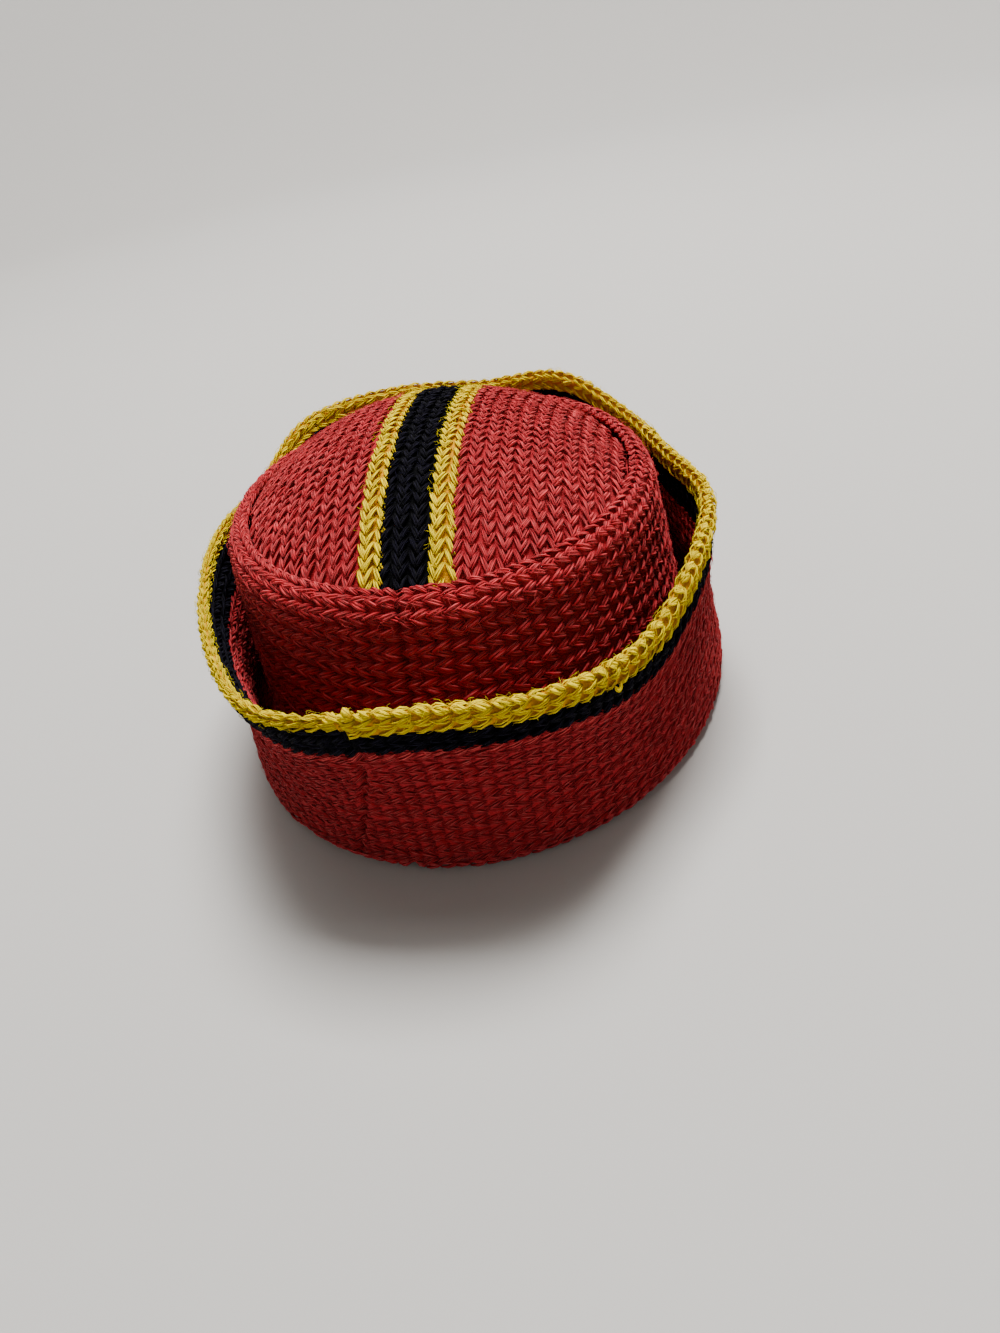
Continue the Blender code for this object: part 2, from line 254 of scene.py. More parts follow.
def knitted(name, parts, materials, nodes, wool_slot):
    """One object from several skins, each with its own material, that stands for CAD nodes."""
    mesh = bpy.data.meshes.new(name)
    starts = np.cumsum([0] + [len(part[0]) for part in parts])
    points = np.concatenate([part[0] for part in parts])
    corners = np.concatenate([part[1] + start for part, start in zip(parts, starts)])
    counts = np.concatenate([part[2] for part in parts])
    uv = np.concatenate([part[3] for part in parts])
    finish = np.repeat(np.arange(len(parts)), [len(part[2]) for part in parts])
    mesh.vertices.add(len(points))
    mesh.vertices.foreach_set("co", points.astype(np.float32).ravel())
    mesh.loops.add(len(corners))
    mesh.loops.foreach_set("vertex_index", corners.astype(np.int32))
    mesh.polygons.add(len(counts))
    loop_start = np.concatenate([[0], np.cumsum(counts)[:-1]])
    mesh.polygons.foreach_set("loop_start", loop_start.astype(np.int32))
    mesh.polygons.foreach_set("material_index", finish.astype(np.int32))
    mesh.update(calc_edges=True)
    layer = mesh.uv_layers.new(name="UVMap")
    layer.data.foreach_set("uv", uv.astype(np.float32).ravel())
    mesh.shade_smooth()
    for material in materials:
        mesh.materials.append(material)
    piece = bpy.data.objects.new(name, mesh)
    bpy.context.scene.collection.objects.link(piece)
    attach(piece, "root")
    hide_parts(*nodes)


def add(tree, kind, links=(), **settings):
    """Add a shader node. links gives its inputs, by name or number, as sockets or values."""
    node = tree.nodes.new(kind)
    for key, value in settings.items():
        setattr(node, key, value)
    for key, value in dict(links).items():
        if isinstance(value, bpy.types.NodeSocket):
            tree.links.new(value, node.inputs[key])
        else:
            node.inputs[key].default_value = value
    return node


def maths(tree, operation, first, second=0.0, third=0.0):
    """Add one calculation on numbers and return its result."""
    return add(tree, "ShaderNodeMath", {0: first, 1: second, 2: third}, operation=operation).outputs[0]


def mixed(tree, amount, first, second, blend="MIX"):
    """Mix two colours and return the result."""
    node = add(tree, "ShaderNodeMix", {0: amount, 6: first, 7: second}, data_type="RGBA",
               blend_type=blend)
    return node.outputs[2]


def ramp(tree, value, low, high):
    """A number from nought at low to one at high."""
    return add(tree, "ShaderNodeMapRange", {0: value, 1: low, 2: high}).outputs[0]


def cloud(tree, place, scale, detail):
    """Soft noise at a place."""
    noise = add(tree, "ShaderNodeTexNoise", {"Vector": place, "Scale": scale, "Detail": detail})
    return noise.outputs["Fac"]


def new_group(name, inputs, outputs):
    """Start a node group with named sockets."""
    group = bpy.data.node_groups.new(name, "ShaderNodeTree")
    for socket, kind in inputs:
        group.interface.new_socket(socket, in_out="INPUT", socket_type=kind)
    for socket, kind in outputs:
        group.interface.new_socket(socket, in_out="OUTPUT", socket_type=kind)
    return group, add(group, "NodeGroupInput"), add(group, "NodeGroupOutput")


COLOUR, NUMBER = "NodeSocketColor", "NodeSocketFloat"
PLY_STREAKS = 4.0
PLY_TWIST = 0.8


def yarn_group():
    """Twisted yarn. Bundles of fibres are waves around a ply that turn as they run along it, single
    fibres are long streaks of noise that follow them, and each ply has its own tone. The colour runs
    from painted shade (Deep) in the hollows between the waves and at a leg's ends to Base on the
    crowns, with painted highlights (Pale) where streaks cross a crown, and pale specks of lint."""
    tree, given, result = new_group(
        "twisted_yarn",
        (("Deep", COLOUR), ("Base", COLOUR), ("Pale", COLOUR), ("Lint", NUMBER)),
        (("Colour", COLOUR), ("Height", NUMBER)))
    place = add(tree, "ShaderNodeSeparateXYZ", {0: add(tree, "ShaderNodeUVMap").outputs[0]})
    strand = maths(tree, "FLOOR", place.outputs[0])
    along = maths(tree, "FRACT", place.outputs[0])
    chance = add(tree, "ShaderNodeTexWhiteNoise", {"W": strand}, noise_dimensions="1D").outputs["Value"]
    turned = maths(tree, "ADD", maths(tree, "MULTIPLY", along, PLY_TWIST), chance)
    wave = maths(tree, "MULTIPLY_ADD", place.outputs[1], PLY_STREAKS, turned)
    ply = maths(tree, "ABSOLUTE", maths(tree, "SINE", maths(tree, "MULTIPLY", wave, math.pi)))
    ply = maths(tree, "POWER", ply, 0.6)
    finer = maths(tree, "MULTIPLY", turned, 3.0)
    around = maths(tree, "MULTIPLY_ADD", place.outputs[1], PLY_STREAKS * 3.0, finer)
    stretched = maths(tree, "MULTIPLY", along, 2.2)
    fibre_place = add(tree, "ShaderNodeCombineXYZ", {0: stretched, 1: around, 2: strand}).outputs[0]
    streaks = add(tree, "ShaderNodeTexNoise", {"Vector": fibre_place, "Scale": 1.0, "Detail": 3.0,
                                               "Roughness": 0.6}).outputs["Fac"]
    # Painted shade: the yarn is darkest between the plies' waves and towards both ends of a leg, where it
    # dives under its neighbours.
    ends = maths(tree, "SINE", maths(tree, "MULTIPLY", along, math.pi))
    ends = maths(tree, "POWER", ends, 0.7)
    crown = maths(tree, "MULTIPLY", ply, ends)
    light = maths(tree, "MULTIPLY", crown, maths(tree, "MULTIPLY_ADD", streaks, 0.9, 0.5))
    shade = mixed(tree, ramp(tree, light, 0.10, 0.72), given.outputs["Deep"], given.outputs["Base"])
    # Painted highlights: the pale colour where streaks run over the crowns of the plies.
    bright = ramp(tree, maths(tree, "MULTIPLY", streaks, light), 0.36, 0.62)
    colour = mixed(tree, maths(tree, "MULTIPLY", bright, 0.75), shade, given.outputs["Pale"])
    body = add(tree, "ShaderNodeTexCoord").outputs["Object"]
    lint = ramp(tree, cloud(tree, body, 900.0, 2.0), 0.66, 0.78)
    lint = maths(tree, "MULTIPLY", lint, given.outputs["Lint"])
    colour = mixed(tree, lint, colour, given.outputs["Pale"])
    patch = maths(tree, "MULTIPLY_ADD", cloud(tree, body, 55.0, 2.0), 0.30, 0.75)
    tone = maths(tree, "MULTIPLY_ADD", chance, 0.22, patch)
    grey = add(tree, "ShaderNodeCombineColor", {0: tone, 1: tone, 2: tone}).outputs[0]
    colour = mixed(tree, 1.0, colour, grey, "MULTIPLY")
    height = maths(tree, "MULTIPLY_ADD", ply, 0.7, maths(tree, "MULTIPLY", streaks, 0.5))
    tree.links.new(colour, result.inputs["Colour"])
    tree.links.new(height, result.inputs["Height"])
    return tree


def purl_group():
    """The inside of the cloth. Rows of small arches: a wave along each row bends the rows, and the
    height is highest along the bent row's middle. The colour is painted shade: rows below the zero
    line lie under the stitches and take the Deep colour all over, and the other rows darken
    towards it in the hollows between the arches."""
    tree, given, result = new_group(
        "cloth_inside", (("Deep", COLOUR), ("Base", COLOUR)), (("Colour", COLOUR), ("Height", NUMBER)))
    place = add(tree, "ShaderNodeSeparateXYZ", {0: add(tree, "ShaderNodeUVMap").outputs[0]})
    bend = maths(tree, "SINE", maths(tree, "MULTIPLY", place.outputs[0], math.tau))
    row = maths(tree, "MULTIPLY_ADD", bend, 0.22, place.outputs[1])
    arch = maths(tree, "ABSOLUTE", maths(tree, "SINE", maths(tree, "MULTIPLY", row, math.pi)))
    body = add(tree, "ShaderNodeTexCoord").outputs["Object"]
    grain = cloud(tree, body, 700.0, 3.0)
    height = maths(tree, "MULTIPLY_ADD", grain, 0.4, maths(tree, "POWER", arch, 0.6))
    # Painted shade: rows under the stitches take the Deep colour, and the others darken into it in the
    # hollows of the arches.
    inside = maths(tree, "GREATER_THAN", place.outputs[1], 0.0)
    amount = maths(tree, "MULTIPLY", inside, ramp(tree, height, 0.35, 1.2))
    colour = mixed(tree, amount, given.outputs["Deep"], given.outputs["Base"])
    tree.links.new(colour, result.inputs["Colour"])
    tree.links.new(maths(tree, "MULTIPLY_ADD", inside, height, grain), result.inputs["Height"])
    return tree


yarn_effect = yarn_group()
purl_effect = purl_group()


def wool_material(name, effect, colours, bump, gloss):
    """Matte wool with a soft sheen of loose fibres."""
    material = bpy.data.materials.new(name)
    material.use_nodes = True
    tree = material.node_tree
    shader = tree.nodes["Principled BSDF"]
    look = add(tree, "ShaderNodeGroup", node_tree=effect)
    for key, value in colours.items():
        look.inputs[key].default_value = value
    height = look.outputs["Height"]
    raised = add(tree, "ShaderNodeBump", {"Height": height, "Strength": 1.0, "Distance": bump})
    tree.links.new(look.outputs["Colour"], shader.inputs["Base Color"])
    tree.links.new(raised.outputs[0], shader.inputs["Normal"])
    shader.inputs["Roughness"].default_value = 0.85
    shader.inputs["Specular IOR Level"].default_value = gloss
    shader.inputs["Sheen Weight"].default_value = gloss / 4
    shader.inputs["Sheen Roughness"].default_value = 0.45
    return material


def rgb(*parts):
    """A colour with full opacity."""
    return (*parts, 1.0)


def yarn_colours(deep, base, pale, lint):
    """The colours of a yarn: painted shade in its hollows, its colour over most of it, and the pale colour
    of its painted highlights and its lint, and the amount of lint.
    """
    return {"Deep": rgb(*deep), "Base": rgb(*base), "Pale": rgb(*pale), "Lint": lint}


def wool_set(use, effect, colours, bump, glosses):
    """One material for each colour of wool, made alike."""
    return {slot: wool_material(slot + "_" + use, effect, colours[slot], bump, gloss)
            for slot, gloss in glosses.items()}


# Deep is painted shade and Pale a painted highlight, which also colours the lint.
YARN = {
    "red_wool": yarn_colours((0.380, 0.008, 0.016), (0.450, 0.012, 0.021), (0.600, 0.130, 0.125), 0.2),
    "navy_wool": yarn_colours((0.0004, 0.0004, 0.001), (0.0015, 0.001, 0.004), (0.020, 0.018, 0.036), 0.4),
    "yellow_wool": yarn_colours((0.720, 0.430, 0.0), (0.860, 0.650, 0.0), (0.920, 0.780, 0.0), 0.1),
}
# Loose fibres are coloured with the yarn's Base and Pale, the red ones paler still: pale lint, and partly
# a painted highlight of fine fibres catching the light.
FUZZ = {slot: {**yarn, "Deep": yarn["Base"], "Base": yarn["Pale"]} for slot, yarn in YARN.items()}
FUZZ["red_wool"]["Base"] = rgb(0.700, 0.080, 0.080)
# Colours of the cloth under the stitches; Deep is its painted shade.
INSIDE = {
    "red_wool": {"Deep": rgb(0.360, 0.010, 0.017), "Base": rgb(0.430, 0.012, 0.021)},
    "navy_wool": {"Deep": rgb(0.0004, 0.0004, 0.001), "Base": rgb(0.002, 0.0015, 0.005)},
    "yellow_wool": {"Deep": rgb(0.600, 0.270, 0.0), "Base": rgb(0.750, 0.460, 0.0)},
}
GLOSS = {"red_wool": 0.15, "navy_wool": 0.05, "yellow_wool": 0.02}
fuzz = wool_set("fuzz", yarn_effect, FUZZ, 0.0001, dict.fromkeys(GLOSS, 0.0))
wool = wool_set("yarn", yarn_effect, YARN, 0.0004, GLOSS)
core = wool_set("inside", purl_effect, INSIDE, 0.0009, GLOSS)


def rib(column):
    """Height of the cloth under the stitches, as a share: a wave that is highest under the points
    of the V, at odd numbers of leg columns, and lowest in the groove between two columns of V."""
    return (1 - np.cos(math.pi * column)) / 2


def top_core(low, high, first_leg, legs, spread):
    """The solid cloth under a strip of the top, between two sideways places and a spread beyond
    them. Across the strip run rows of points, each a ring: over the strip from back to front and
    back again underneath."""
    inset = np.linspace(low, high, 2 * legs + 1)
    inset[[0, -1]] += (-spread, spread)
    inset = np.sort(np.append(inset, (inset[0] + CORE_STEP, inset[-1] - CORE_STEP)))
    inset = np.clip((inset - top_middle[0]) / top_half[0], -0.9995, 0.9995)[:, None]
    reach = np.sqrt(1 - inset ** 2) * top_half[1]
    y = top_middle[1] + np.linspace(0.999, -0.999, CORE_ROWS)[None, :] * reach * RIM_TUCK
    x = top_middle[0] + inset * top_half[0] * RIM_TUCK + 0 * y
    column = (high - top_middle[0] - inset * top_half[0]) / (high - low) * legs + first_leg
    upper = on_top(x, y, -CORE_DEPTH - CORE_GROOVE * (1 - rib(column)) + 0 * y)
    lower = on_top(x, y, np.full_like(x, -CLOTH_WALL))
    lower[..., 2] = np.minimum(lower[..., 2], upper[..., 2] - 0.001)
    points, corners, counts, uv = grid_faces(np.concatenate([upper, lower[:, ::-1]], 1), False)
    inside = uv[:, 1] > CORE_ROWS
    along = (uv[:, 1] - CORE_ROWS) * TOP_COURSES / (CORE_ROWS - 1)
    # Faces under the stitches get a negative row, which the inside effect paints in its painted shade
    # colour.
    uv = np.stack([along, np.where(inside, 1.0 + uv[:, 0], -1.0)], 1)
    return points, corners, counts, uv


def rim_share(course, across):
    """How far places on the top lie out towards its rim, as a share of the oval."""
    y = np.interp(course * TOP_COURSE, middle_run, middle_y)
    return np.hypot((-across - top_middle[0]) / top_half[0], (y - top_middle[1]) / top_half[1])


def top_piece(node, first_leg, legs, random):
    """One strip of the top: leg columns counted from the wearer's left, its core and its fuzz."""
    low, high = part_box(node)[0].x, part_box(node)[1].x
    width = (high - low) / legs
    column, course = np.meshgrid(np.arange(legs), np.arange(-1, TOP_COURSES + 1), indexing="ij")
    column, course = column.ravel(), course.ravel().astype(float)
    across = -(high - (column + 0.5) * width)
    sign = np.where((first_leg + column) % 2 == 0, -1.0, 1.0)
    kept = rim_share(course + 0.5, across) < 1.0
    stitches = stitch_legs(on_top_courses, course[kept], across[kept], np.full(kept.sum(), width),
                           sign[kept], (TOP_COURSE, 1.0), random, TOP_LEG_REACH, TOP_LEG_LEAN)
    count = int((high - low) * 2 * top_half[1] * TOP_FIBRES_PER_AREA)
    course = random.uniform(0, TOP_COURSES, count)
    across = random.uniform(-high, -low, count)
    kept = rim_share(course, across) < TOP_FIBRES_END
    fibres = loose_fibres(on_top_courses, course[kept], across[kept], (TOP_COURSE, 1.0), random,
                          (-high - FIBRE_STRAY, -low + FIBRE_STRAY))
    slot = TOP_WOOL.get(node, "red_wool")
    spread = -CORE_SPREAD if slot == "yellow_wool" else CORE_SPREAD
    knitted(node + "_knit", [stitches, top_core(low, high, first_leg, legs, spread), fibres],
            [wool[slot], core[slot], fuzz[slot]], [node], slot)


random = np.random.default_rng(11)
first = 0
for stripe, leg_count in STRIPE_LEGS.items():
    top_piece(stripe, first, leg_count, random)
    first += leg_count
panel_legs = int(round((panel_left[1].x - panel_left[0].x) / RED_LEG_WIDTH))
top_piece("top_panel_left", -panel_legs, panel_legs, random)
top_piece("top_panel_right", first, panel_legs, random)


# The ridge and the side band.
# One ring of red knit whose V stitches run round the head. Where it meets the top it is gathered
# into a raised, rounded ridge, and below that it slopes down to the fold.

BAND_SEAM = math.radians(83.5)
RING_LEG_REACH = 1.35
RING_LEG_LEAN = 1.04
BAND_COURSES = 106
BAND_WALES = 16
RIDGE_WALES = 4
RIDGE_HEIGHT = 0.0018
LIP_DROP = 0.0026
LIP_REACH = 0.0016
SHOULDER_REACH = 0.0104
SHOULDER_DROP = 0.0125
FOLD_OUTER_RADIUS = 0.0053
FOLD_INNER_RADIUS = 0.0009
FOLD_FLAT = 0.0050
CORE_DIRECTIONS = 118
CORE_POINTS = 15
CORE_SEAM = np.array([-0.5, -0.35, -0.25, -0.15, -0.07, 0.0, 0.07, 0.15, 0.25, 0.35, 0.5])
SEAM_DEPTH = 0.0022
SEAM_HALF_WIDTH = 0.0014
DIRECTIONS = 360
LINE_POINTS = 41
RIDGE_FIBRES = 900
BAND_FIBRES = 1000

fold_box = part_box("lower_fold")
fold_middle = np.array([(fold_box[0].x + fold_box[1].x) / 2, (fold_box[0].y + fold_box[1].y) / 2])
fold_half = np.array([(fold_box[1].x - fold_box[0].x) / 2, (fold_box[1].y - fold_box[0].y) / 2])
band_foot_reach = -(CLOTH_WALL + 2 * FOLD_INNER_RADIUS + FOLD_FLAT)
all_angles = np.linspace(0, math.tau, DIRECTIONS + 1)


def fold_line(angle):
    """The oval of the lowest fold, and the outward normal there."""
    x, y = fold_half[0] * np.cos(angle), fold_half[1] * np.sin(angle)
    nx, ny = np.cos(angle) / fold_half[0], np.sin(angle) / fold_half[1]
    size = np.hypot(nx, ny)
    return x + fold_middle[0], y + fold_middle[1], nx / size, ny / size


def groove_reach(angle):
    """The reach at which the line square to the fold meets the oval of the groove: the larger root
    of the quadratic that puts the line's point on that oval."""
    x, y, nx, ny = fold_line(angle)
    px, py = (x - top_middle[0]) / top_half[0], (y - top_middle[1]) / top_half[1]
    qx, qy = nx / top_half[0], ny / top_half[1]
    a, b, c = qx * qx + qy * qy, px * qx + py * qy, px * px + py * py - 1
    return (-b + np.sqrt(b * b - a * c)) / a


def even_line(line, count):
    """A line of each direction, shape directions by points by 2, with its points spaced evenly."""
    run = np.linalg.norm(np.diff(line, axis=1), axis=2).cumsum(1)
    run = np.concatenate([np.zeros((len(line), 1)), run], 1)
    want = np.linspace(0, 1, count)
    return np.stack([np.stack([np.interp(want * r[-1], r, row[:, k]) for k in (0, 1)], 1)
                     for r, row in zip(run, line)])


def line_normals(line):
    """The normal of a section line, to the right of its direction."""
    ahead = np.gradient(line, axis=1)
    ahead /= np.linalg.norm(ahead, axis=2, keepdims=True)
    return np.stack([ahead[..., 1], -ahead[..., 0]], 2)


def even_turns(reach, courses, start):
    """A table from courses, counted round from the angle of the seam, to angles, even at one reach."""
    fine = np.linspace(0, math.tau, 8 * DIRECTIONS + 1) + start
    x, y, nx, ny = fold_line(fine)
    away = np.interp(fine % math.tau, all_angles, reach)
    run = np.hypot(np.diff(x + nx * away), np.diff(y + ny * away)).cumsum()
    run = np.concatenate([[0], run])
    return run / run[-1] * courses, fine, run[-1] / courses


def ring_cloth(line, courses, reference, start, side=1.0, slant=0.0):
    """A cloth around the head. line holds a section line for each direction. The place of a point
    is read between directions and between points of the lines, then moved along the normal, and
    the cloth sinks in a narrow dip at the back seam, where its courses start. A slant is the
    number of courses by which the seam runs off from the line's end to its start."""
    line = even_line(line, LINE_POINTS)
    normal = line_normals(line) * side
    table, fine, pitch = even_turns(reference, courses, start)
    both = np.concatenate([line, normal], 2)

    def place(along, across, lift):
        angle = np.interp(along % courses, table, fine)
        at = angle / math.tau * DIRECTIONS % DIRECTIONS
        row = np.minimum(at.astype(int), DIRECTIONS - 1)
        spot = np.clip(across, -0.02, 1.02) * (LINE_POINTS - 1)
        col = np.clip(spot.astype(int), 0, LINE_POINTS - 2)
        s, t = (at - row)[..., None], (spot - col)[..., None]
        near = both[row, col] * (1 - t) + both[row, col + 1] * t
        far = both[row + 1, col] * (1 - t) + both[row + 1, col + 1] * t
        value = near * (1 - s) + far * s
        away = (along + slant * (1 - across) + courses / 2) % courses - courses / 2
        lift = lift - SEAM_DEPTH * np.exp(-(away * pitch / SEAM_HALF_WIDTH) ** 2)
        x, y, nx, ny = fold_line(angle)
        reach = value[..., 0] + value[..., 2] * lift
        return np.stack([x + nx * reach, y + ny * reach, value[..., 1] + value[..., 3] * lift], -1)

    place.courses = courses
    place.pitch = pitch
    place.length = float(np.linalg.norm(np.diff(line, axis=1), axis=2).sum(1).mean())
    place.slant = slant
    return place


def ring_legs(place, first, last, columns, start_sign, random, **sizes):
    """Columns of legs around the head between two shares of the cloth's line."""
    width = (last - first) / columns
    column, course = np.meshgrid(np.arange(columns), np.arange(place.courses), indexing="ij")
    column, course = column.ravel(), course.ravel().astype(float)
    sign = np.where(column % 2 == 0, start_sign, -start_sign)
    across = first + (column + 0.5) * width
    return stitch_legs(place, course, across, np.full(len(column), width), sign,
                       (place.pitch, place.length), random, RING_LEG_REACH, RING_LEG_LEAN, **sizes)


def ring_fuzz(place, count, first, last, random):
    """Loose fibres all round a cloth, between two shares of its line."""
    course = random.uniform(0, place.courses, count)
    across = random.uniform(first, last, count)
    return loose_fibres(place, course, across, (place.pitch, place.length), random,
                        (first - 0.01, last + 0.01))


def ring_core(*faces):
    """The solid cloth under the stitches, a closed ring. Each face is a cloth, the two shares of
    its line between which it runs, its lift, how many columns of legs lie on it, or none, and the
    number of the first of them. The courses are closer at the seam and slant as it does."""
    courses = faces[0][0].courses
    along = np.concatenate([np.linspace(0.8, courses - 0.8, CORE_DIRECTIONS), CORE_SEAM % courses])
    along = np.sort(along)
    rows = []
    for cloth, start, end, lift, columns, first in faces:
        share = np.linspace(0, 1, max(CORE_POINTS, 2 * columns + 1))[None, :] + 0 * along[:, None]
        groove = CORE_GROOVE * (1 - rib(share * columns + first)) if columns else 0.0
        across = start + (end - start) * share
        rows.append(cloth(along[:, None] - cloth.slant * (1 - across), across, lift - groove + 0 * share))
    points, corners, counts, uv = grid_faces(np.concatenate(rows, 1), True)
    inner = uv[:, 1] - rows[0].shape[1]
    # Faces under the stitches get a negative row, which the inside effect paints in its painted shade
    # colour.
    uv = np.stack([uv[:, 0] * courses / len(along), np.where(inner >= 0, 1 + 2 * inner, -1.0)], 1)
    return points, corners, counts, uv


groove = groove_reach(all_angles)
groove_x = fold_line(all_angles)[0] + fold_line(all_angles)[2] * groove
crest = (rim_level(groove_x) + RIDGE_HEIGHT)[:, None]
bend = np.linspace(0, math.pi / 2, 9)[None, :]
lip = np.stack([groove[:, None] + LIP_REACH * (1 - np.cos(bend)),
                crest - LIP_DROP * (1 - np.sin(bend))], 2)
shoulder = np.stack([groove[:, None] + LIP_REACH + (SHOULDER_REACH - LIP_REACH) * np.sin(bend),
                     crest - SHOULDER_DROP * (1 - np.cos(bend))], 2)
foot = np.stack([np.full_like(groove, band_foot_reach), np.full_like(groove, FOLD_OUTER_RADIUS)], 1)
down = np.linspace(0, 1, 13)[None, 1:, None]
slope = shoulder[:, -1:] + (foot[:, None] - shoulder[:, -1:]) * down
side_line = np.concatenate([lip[:, :-1], shoulder, slope], 1)
side_cloth = ring_cloth(side_line, BAND_COURSES, groove + SHOULDER_REACH / 2, BAND_SEAM, side=-1.0)
ridge_share = RIDGE_WALES / BAND_WALES


def shifted(line, distance):
    """A section line moved along its normal."""
    return line + line_normals(line) * distance


random = np.random.default_rng(23)
knitted("shoulder_ridge_knit",
        [ring_legs(side_cloth, 0.0, ridge_share, 2 * RIDGE_WALES, -1.0, random),
         ring_core((side_cloth, 0.0, ridge_share, -CORE_DEPTH, 2 * RIDGE_WALES, 0),
                   (side_cloth, ridge_share, 0.0, -CLOTH_WALL, 0, 0)),
         ring_fuzz(side_cloth, RIDGE_FIBRES, 0.0, ridge_share, random)],
        [wool["red_wool"], core["red_wool"], fuzz["red_wool"]], ["shoulder_ridge"], "red_wool")
knitted("side_band_knit",
        [ring_legs(side_cloth, ridge_share, 1.0, 2 * (BAND_WALES - RIDGE_WALES), -1.0, random),
         ring_core((side_cloth, ridge_share, 1.0, -CORE_DEPTH, 2 * (BAND_WALES - RIDGE_WALES), 0),
                   (side_cloth, 1.0, ridge_share, -CLOTH_WALL, 0, 0)),
         ring_fuzz(side_cloth, BAND_FIBRES, ridge_share, 0.96, random)],
        [wool["red_wool"], core["red_wool"], fuzz["red_wool"]], ["side_band"], "red_wool")


# The turned-up brim, red part.
# The cloth of the side band folds under, lies flat where the hat rests and stands up again all
# round. Its V stitches run round the head too, and a seam closes it at the back.

BRIM_SEAM = math.radians(81.3)
BRIM_SEAM_SLANT = 4.0
BRIM_COURSES = 126
BRIM_WALES = 10
BRIM_CORE_DEPTH = 0.00090
BRIM_FIBRES = 1000
INSIDE_LEGS = 15
INSIDE_END = 0.7
HOOKS_START = 0.955
FOLD_LEGS = 3
BRIM_HEIGHT = 0.0789
BRIM_REACH = 0.0100
BRIM_WAIST = 0.0028
BRIM_FLARE = 1.6
NAVY_ROWS_HEIGHT = 0.0130
YELLOW_EDGE_HEIGHT = 0.0070
STRIPES_HEIGHT = NAVY_ROWS_HEIGHT + YELLOW_EDGE_HEIGHT
HALF_WALL = CLOTH_WALL / 2

# Reach and height of the free edge as shares of the brim's, every sixteenth of a turn from the
# wearer's left by way of the back.
EDGE_ROWS = (
    (-0.09, 1.01), (-0.20, 1.00), (0.40, 0.97), (1.53, 0.98), (1.40, 1.02), (1.55, 0.98),
    (0.29, 0.87), (-0.13, 0.96), (-0.31, 0.96), (-0.93, 0.96), (-0.48, 1.01), (0.01, 1.13),
    (0.24, 1.09), (1.04, 1.13), (1.37, 1.13), (0.18, 1.01),
)


def edge_value(column, angle):
    """A column of the table of the free edge, on a smooth closed curve through its rows: each
    value is that of the row before, plus half a cubic of the four rows around the place."""
    table = np.array(EDGE_ROWS)[:, column]
    place = (angle / math.tau % 1.0) * len(table)
    first = np.floor(place).astype(int)
    t = place - first
    a, b, c, d = (np.take(table, first + step, mode="wrap") for step in (-1, 0, 1, 2))
    return b + 0.5 * t * (c - a + t * (2 * a - 5 * b + 4 * c - d + t * (3 * (b - c) + d - a)))


edge_height = edge_value(1, all_angles) * BRIM_HEIGHT
edge_reach = edge_value(0, all_angles) * BRIM_REACH
edge_rise = edge_height - FOLD_OUTER_RADIUS


def brim_line(low, high, points=25):
    """The middle of the brim's cloth for each direction, between two heights below the free edge.
    No low is the foot. The reach grows as a power of the height's share, less a waist that is a
    squared sine."""
    first = 0 * edge_rise if low is None else 1 - low / edge_rise
    last = 1 - high / edge_rise
    share = first[:, None] + (last - first)[:, None] * np.linspace(0, 1, points)
    start = -HALF_WALL
    reach = start + (edge_reach[:, None] - start) * share ** BRIM_FLARE
    reach = reach - BRIM_WAIST * np.sin(math.pi * share) ** 2
    return np.stack([reach, FOLD_OUTER_RADIUS + edge_rise[:, None] * share], 2)


def arc_line(middle_reach, radius, start, end, points):
    """An arc about a point as high as the fold's radius, between two angles in degrees, for each
    direction."""
    turn = np.radians(np.linspace(start, end, points))[None, :] + 0 * all_angles[:, None]
    return np.stack([middle_reach + radius * np.cos(turn), FOLD_OUTER_RADIUS + radius * np.sin(turn)], 2)


red_middle = brim_line(None, STRIPES_HEIGHT)
brim_outside = ring_cloth(shifted(red_middle, HALF_WALL), BRIM_COURSES, edge_reach / 2, BRIM_SEAM,
                          slant=BRIM_SEAM_SLANT)
brim_inside = ring_cloth(shifted(red_middle, -HALF_WALL)[:, ::-1], BRIM_COURSES, edge_reach / 2,
                         BRIM_SEAM)
# A darker, less highlighted copy of the red wool for the brim's outside: painted shade for a face that
# stands in shadow.
shaded_reverse_wool = wool_material("red_wool_reverse_shaded", yarn_effect, yarn_colours(
    (0.220, 0.004, 0.009), (0.330, 0.007, 0.013), (0.540, 0.095, 0.090), 0.2), 0.0004, 0.10)
random = np.random.default_rng(31)

# The outside shows the reverse of the knit, which has a low relief, in a darker copy of the red wool:
# painted shade.
knitted("turned_brim_knit",
        [ring_legs(brim_outside, 0.0, 1.0, 2 * BRIM_WALES, 1.0, random, fullness=1.15, depth=0.00065,
                   arch=0.00015, groove=0.0002),
         ring_core((brim_outside, 0.0, 1.0, -BRIM_CORE_DEPTH, 0, 0),
                   (brim_inside, 0.0, 1.0, -CORE_DEPTH, 0, 0)),
         ring_fuzz(brim_outside, BRIM_FIBRES, 0.02, 0.98, random)],
        [shaded_reverse_wool, core["red_wool"], fuzz["red_wool"]], ["turned_brim"], "red_wool")

# The inside, and the row of thin pale hooks outside where the red meets the navy.
knitted("turned_brim_inside_knit",
        [ring_legs(brim_inside, 0.0, INSIDE_END, INSIDE_LEGS, 1.0, random),
         ring_legs(brim_outside, HOOKS_START, 1.0, 1, 1.0, random, fullness=0.55, depth=0.0002,
                   arch=0.0004)],
        [wool["red_wool"], fuzz["red_wool"]], ["turned_brim"], "red_wool")

